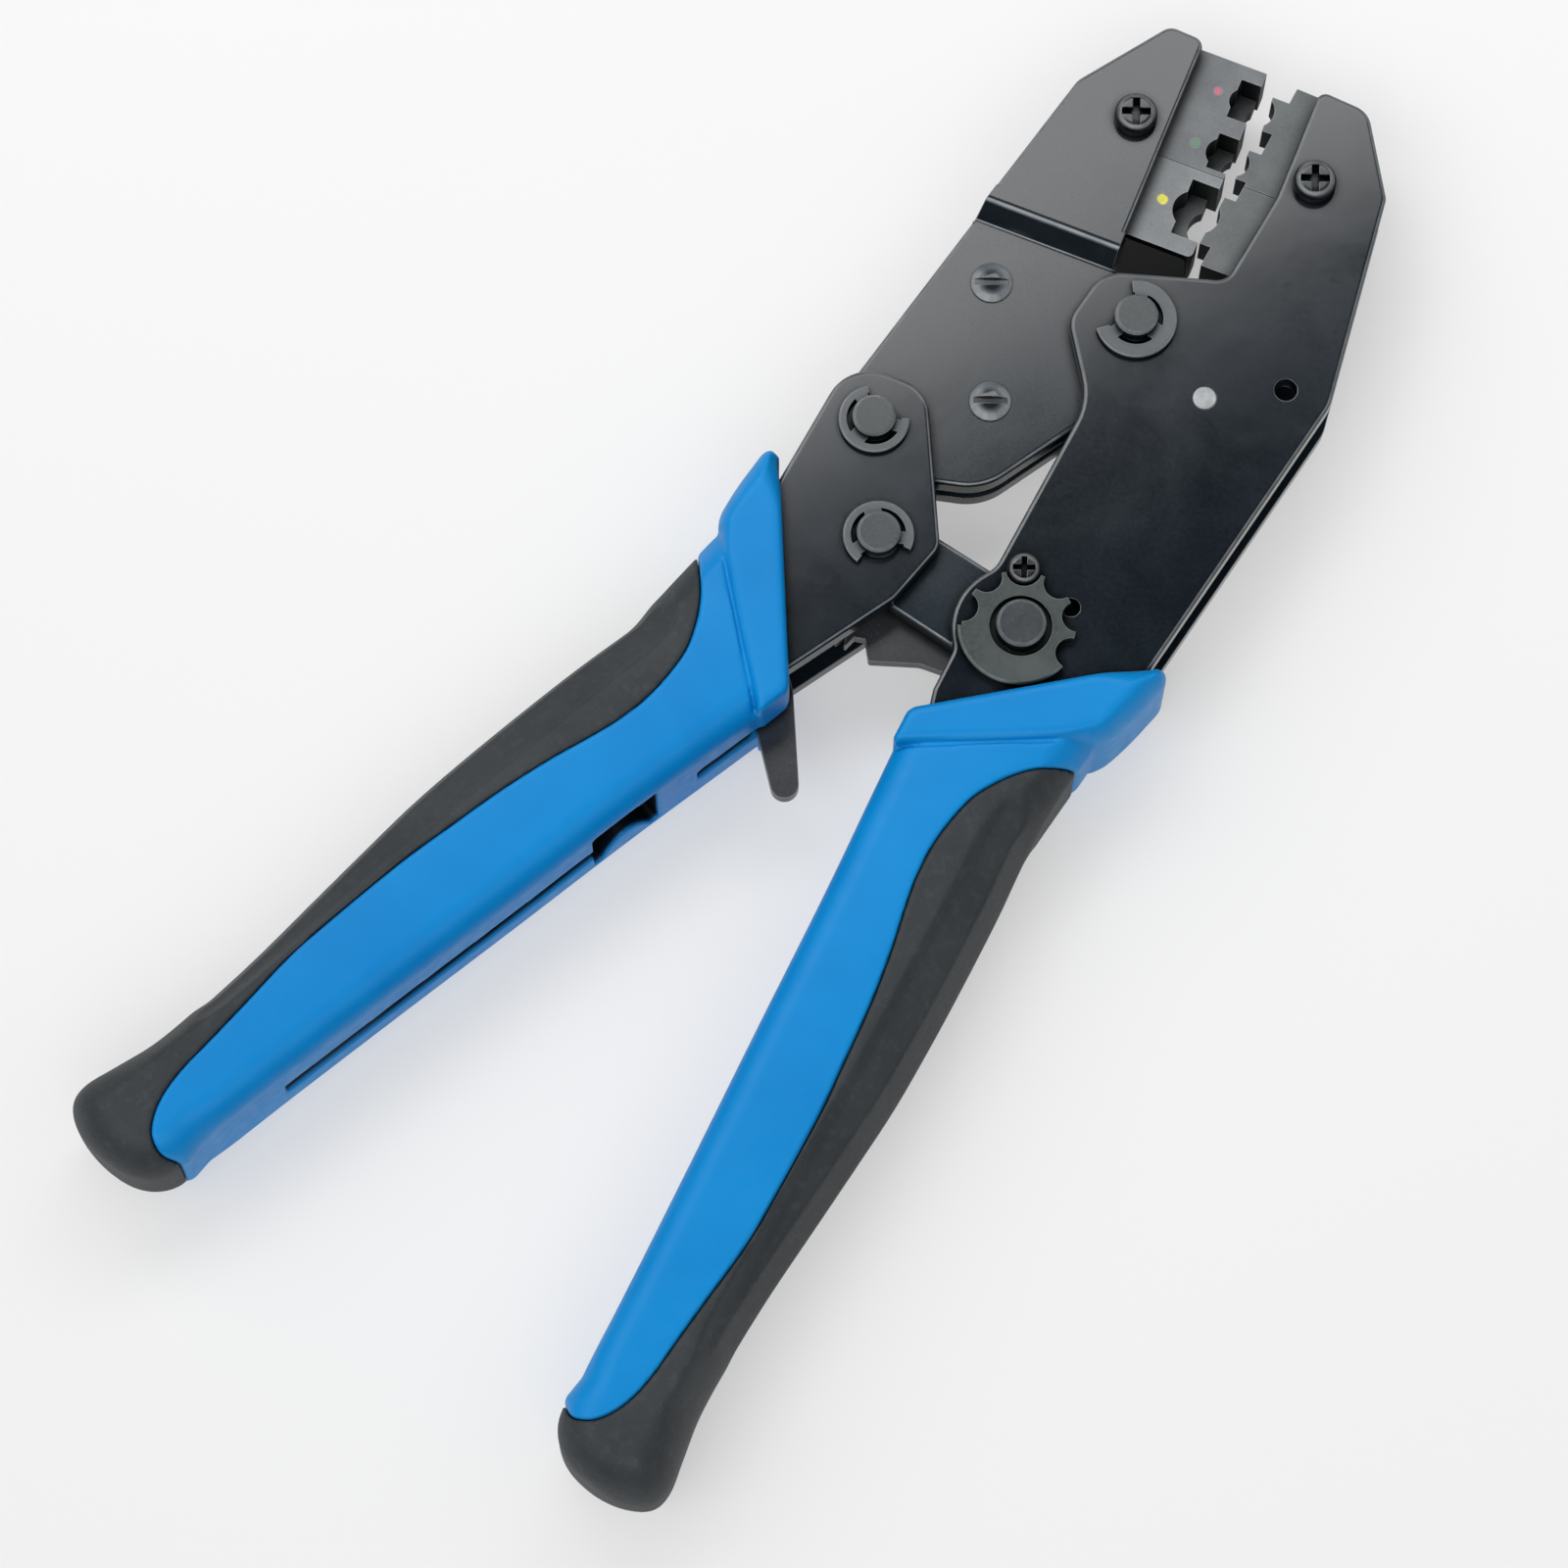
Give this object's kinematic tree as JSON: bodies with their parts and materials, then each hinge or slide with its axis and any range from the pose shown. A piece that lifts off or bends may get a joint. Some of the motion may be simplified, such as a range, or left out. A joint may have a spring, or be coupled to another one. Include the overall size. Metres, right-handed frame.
{
  "type": "ratchet crimping tool",
  "caption": "Hand crimping tool with a ratchet toggle linkage, interchangeable dies in two pressed-plate jaws, a release lever, a star-wheel adjuster and two-tone grips.",
  "frame": {"origin": "centre of the bounding box's bottom face, with the tool lying on its back", "axes": "+Z towards the front face, +Y along the fixed jaw towards the nose, +X towards the fixed side"},
  "size_m": [0.1228, 0.2202, 0.0216],
  "materials": {
    "black_steel": "satin black oxide",
    "dark_hardware": "satin black oxide",
    "die_steel": "fine ground, phosphated",
    "bright_steel": "plain steel",
    "spring_steel": "oiled spring wire",
    "blue_plastic": "fine moulded satin",
    "grip_rubber": "soft matt",
    "paint_red": "enamel",
    "paint_green": "enamel",
    "paint_yellow": "enamel"
  },
  "bodies": {
    "fixed_handle": {"fixed_front_plate": "black_steel", "fixed_rear_plate": "black_steel", "fixed_upper_die": "die_steel", "fixed_lower_die": "die_steel", "fixed_die_screw": "dark_hardware", "main_pivot_pin": "dark_hardware", "main_pivot_clip": "dark_hardware", "adjuster_pin": "dark_hardware", "adjuster_wheel": "dark_hardware", "adjuster_rear_clip": "dark_hardware", "adjuster_lock_screw": "dark_hardware", "spring_anchor_pin": "bright_steel", "opening_spring": "spring_steel", "fixed_tang_spacer": "black_steel", "fixed_tang_rivets": "bright_steel", "fixed_grip_core": "blue_plastic", "fixed_grip_rubber": "grip_rubber"},
    "moving_jaw": {"jaw_front_plate": "black_steel", "jaw_rear_plate": "black_steel", "jaw_upper_die": "die_steel", "jaw_lower_die": "die_steel", "jaw_die_screw": "dark_hardware", "jaw_binder_screws": "dark_hardware", "size_dot_red": "paint_red", "size_dot_green": "paint_green", "size_dot_yellow": "paint_yellow"},
    "toggle_link": {"toggle_front_link": "black_steel", "toggle_rear_link": "black_steel", "ratchet_sector": "black_steel"},
    "moving_handle": {"handle_front_plate": "black_steel", "handle_rear_plate": "black_steel", "jaw_link_pin": "dark_hardware", "jaw_link_clip": "dark_hardware", "toggle_pin": "dark_hardware", "toggle_clip": "dark_hardware", "pawl_pin": "bright_steel", "pawl_spring": "spring_steel", "moving_tang_spacer": "black_steel", "moving_tang_rivets": "bright_steel", "moving_grip_core": "blue_plastic", "moving_grip_rubber": "grip_rubber"},
    "release_lever": {"ratchet_pawl": "black_steel"}
  },
  "joints": [
    {"name": "toggle_swing", "type": "hinge", "parent": "fixed_handle", "child": "toggle_link", "pos_m": [0.03332, 0.01934, 0.0108], "axis": [0, 0, 1], "range_deg": [-19, 0]},
    {"name": "handle_fold", "type": "hinge", "parent": "toggle_link", "child": "moving_handle", "pos_m": [0.01067, 0.02443, 0.0108], "axis": [0, 0, 1], "range_deg": [0, 42.5], "stiffness_Nm_per_rad": 0.6, "springref_deg": -28.65},
    {"name": "jaw_close", "type": "hinge", "parent": "fixed_handle", "child": "moving_jaw", "pos_m": [0.03207, 0.06703, 0.0108], "axis": [0, 0, 1], "range_deg": [-6, 0], "deforming": ["opening_spring"]},
    {"name": "lever_release", "type": "hinge", "parent": "moving_handle", "child": "release_lever", "pos_m": [-0.00193, 0.00804, 0.0108], "axis": [0, 0, -1], "range_deg": [0, 12], "stiffness_Nm_per_rad": 0.02, "springref_deg": -22.92, "deforming": ["pawl_spring"]}
  ],
  "couplings": [
    {"joint": "toggle_swing", "follows": "handle_fold", "ratio": -0.44705},
    {"joint": "jaw_close", "follows": "handle_fold", "ratio": -0.14118}
  ]
}
